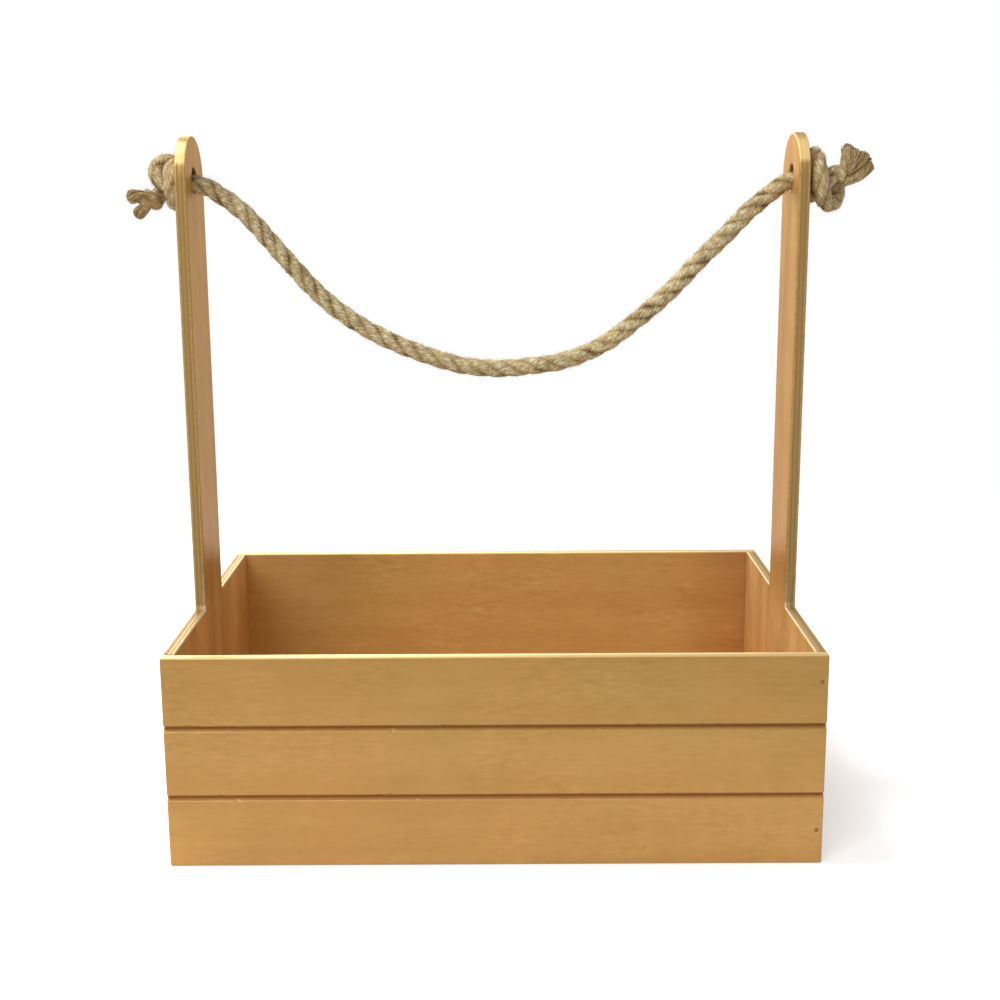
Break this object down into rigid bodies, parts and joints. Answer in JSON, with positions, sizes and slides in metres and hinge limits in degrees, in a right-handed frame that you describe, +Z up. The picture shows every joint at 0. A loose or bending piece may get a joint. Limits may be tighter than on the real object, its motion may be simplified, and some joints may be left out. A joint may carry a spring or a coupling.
{
  "type": "plywood storage crate with rope handle",
  "caption": "Shallow plywood crate with grooved long sides, a tall upright at each end and a knotted rope handle hanging between the uprights.",
  "frame": {"origin": "middle of the base, level with the bottom edges of the four walls", "axes": "+Z up along the uprights, +X along the long side to the viewer's right, -Y towards the viewer at the front"},
  "size_m": [0.3597, 0.2, 0.331],
  "materials": {
    "painted_front": "satin gold paint over plywood",
    "painted_end": "satin gold paint over plywood",
    "painted_bottom": "satin gold paint over plywood",
    "nail_metal": "painted over",
    "jute_rope": "rough natural fibre"
  },
  "bodies": {
    "crate": {"front_panel": "painted_front", "back_panel": "painted_front", "left_end_panel": "painted_end", "right_end_panel": "painted_end", "bottom_panel": "painted_bottom", "nail_front_left_top": "nail_metal", "nail_front_left_low": "nail_metal", "nail_front_left_base": "nail_metal", "nail_front_right_top": "nail_metal", "nail_front_right_low": "nail_metal", "nail_front_right_base": "nail_metal", "nail_back_left_top": "nail_metal", "nail_back_left_low": "nail_metal", "nail_back_left_base": "nail_metal", "nail_back_right_top": "nail_metal", "nail_back_right_low": "nail_metal", "nail_back_right_base": "nail_metal", "nail_left_front_base": "nail_metal", "nail_left_back_base": "nail_metal", "nail_right_front_base": "nail_metal", "nail_right_back_base": "nail_metal"},
    "rope": {"rope_handle": "jute_rope", "left_knot": "jute_rope", "right_knot": "jute_rope"}
  },
  "joints": [
    {"name": "rope_swing", "type": "hinge", "parent": "crate", "child": "rope", "pos_m": [0, 0, 0.31], "axis": [1, 0, 0], "range_deg": [-180, 180]}
  ]
}
